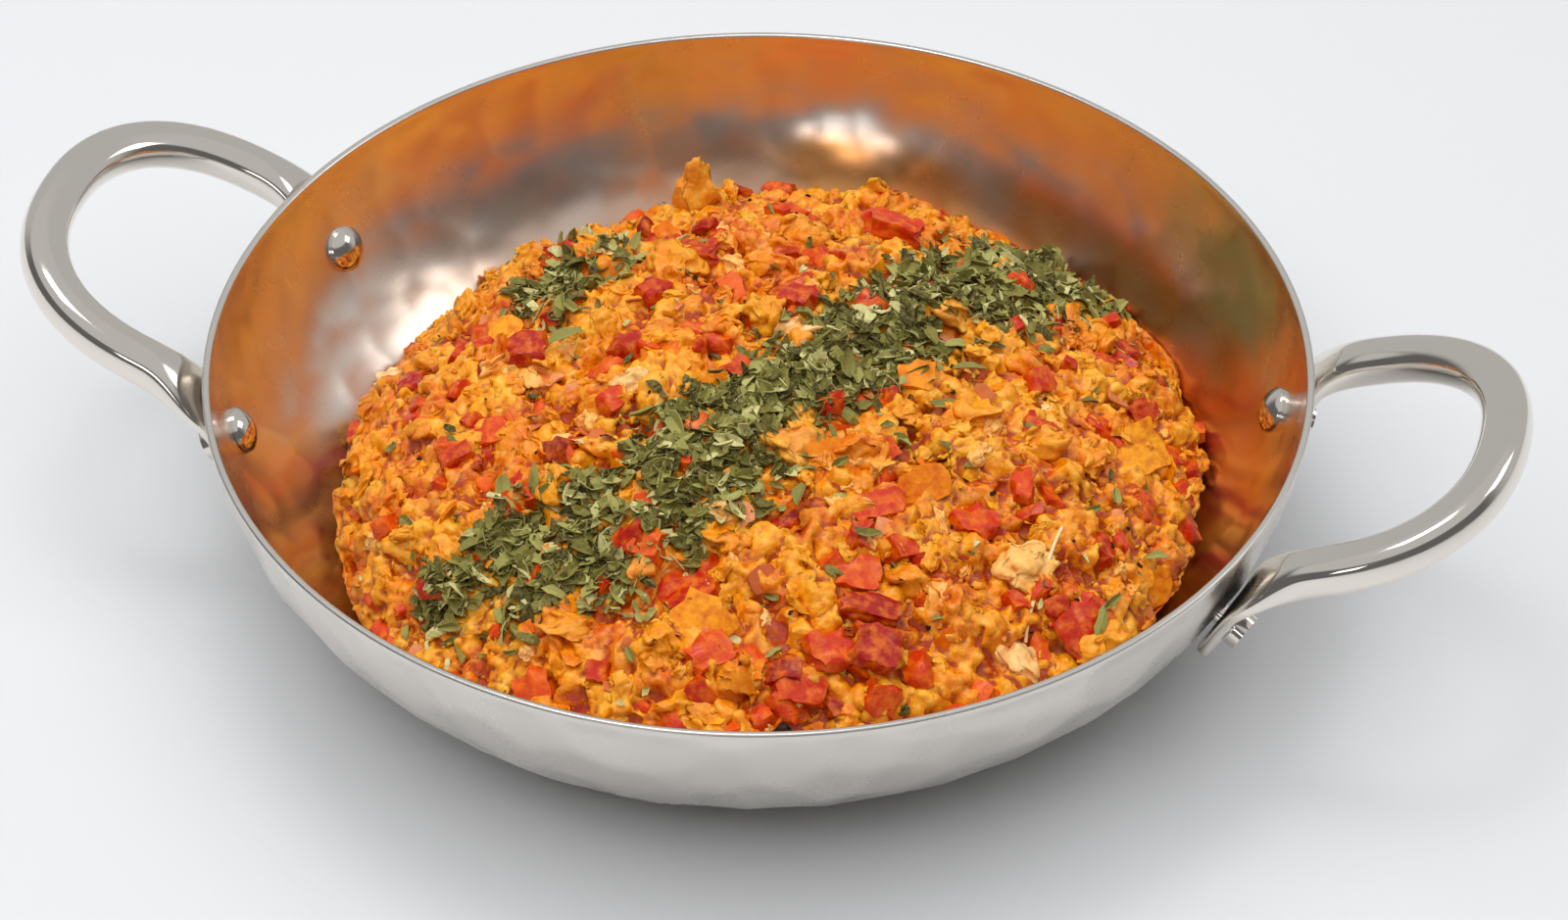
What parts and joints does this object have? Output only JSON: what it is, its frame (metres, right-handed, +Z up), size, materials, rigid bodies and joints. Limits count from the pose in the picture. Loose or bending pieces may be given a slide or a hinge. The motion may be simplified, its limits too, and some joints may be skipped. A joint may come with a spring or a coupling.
{
  "type": "shakshuka in a pan",
  "caption": "Heap of scrambled-egg shakshuka with tomato, pepper and onion under a band of dried herbs, served in a hammered steel pan with riveted loop handles.",
  "frame": {"origin": "on the table under the middle of the pan", "axes": "+X through the right handle, +Z up, front of the pan at -Y"},
  "size_m": [0.3332, 0.24, 0.0679],
  "materials": {
    "hammered_steel": "satin outside, polished and lightly hammered inside",
    "polished_steel": "mirror polished",
    "egg_and_tomato": null
  },
  "bodies": {
    "root": {"pan": "hammered_steel", "handle_left": "polished_steel", "handle_right": "polished_steel", "rivet_left_front": "polished_steel", "rivet_left_back": "polished_steel", "rivet_right_front": "polished_steel", "rivet_right_back": "polished_steel", "food": "egg_and_tomato"}
  },
  "joints": []
}
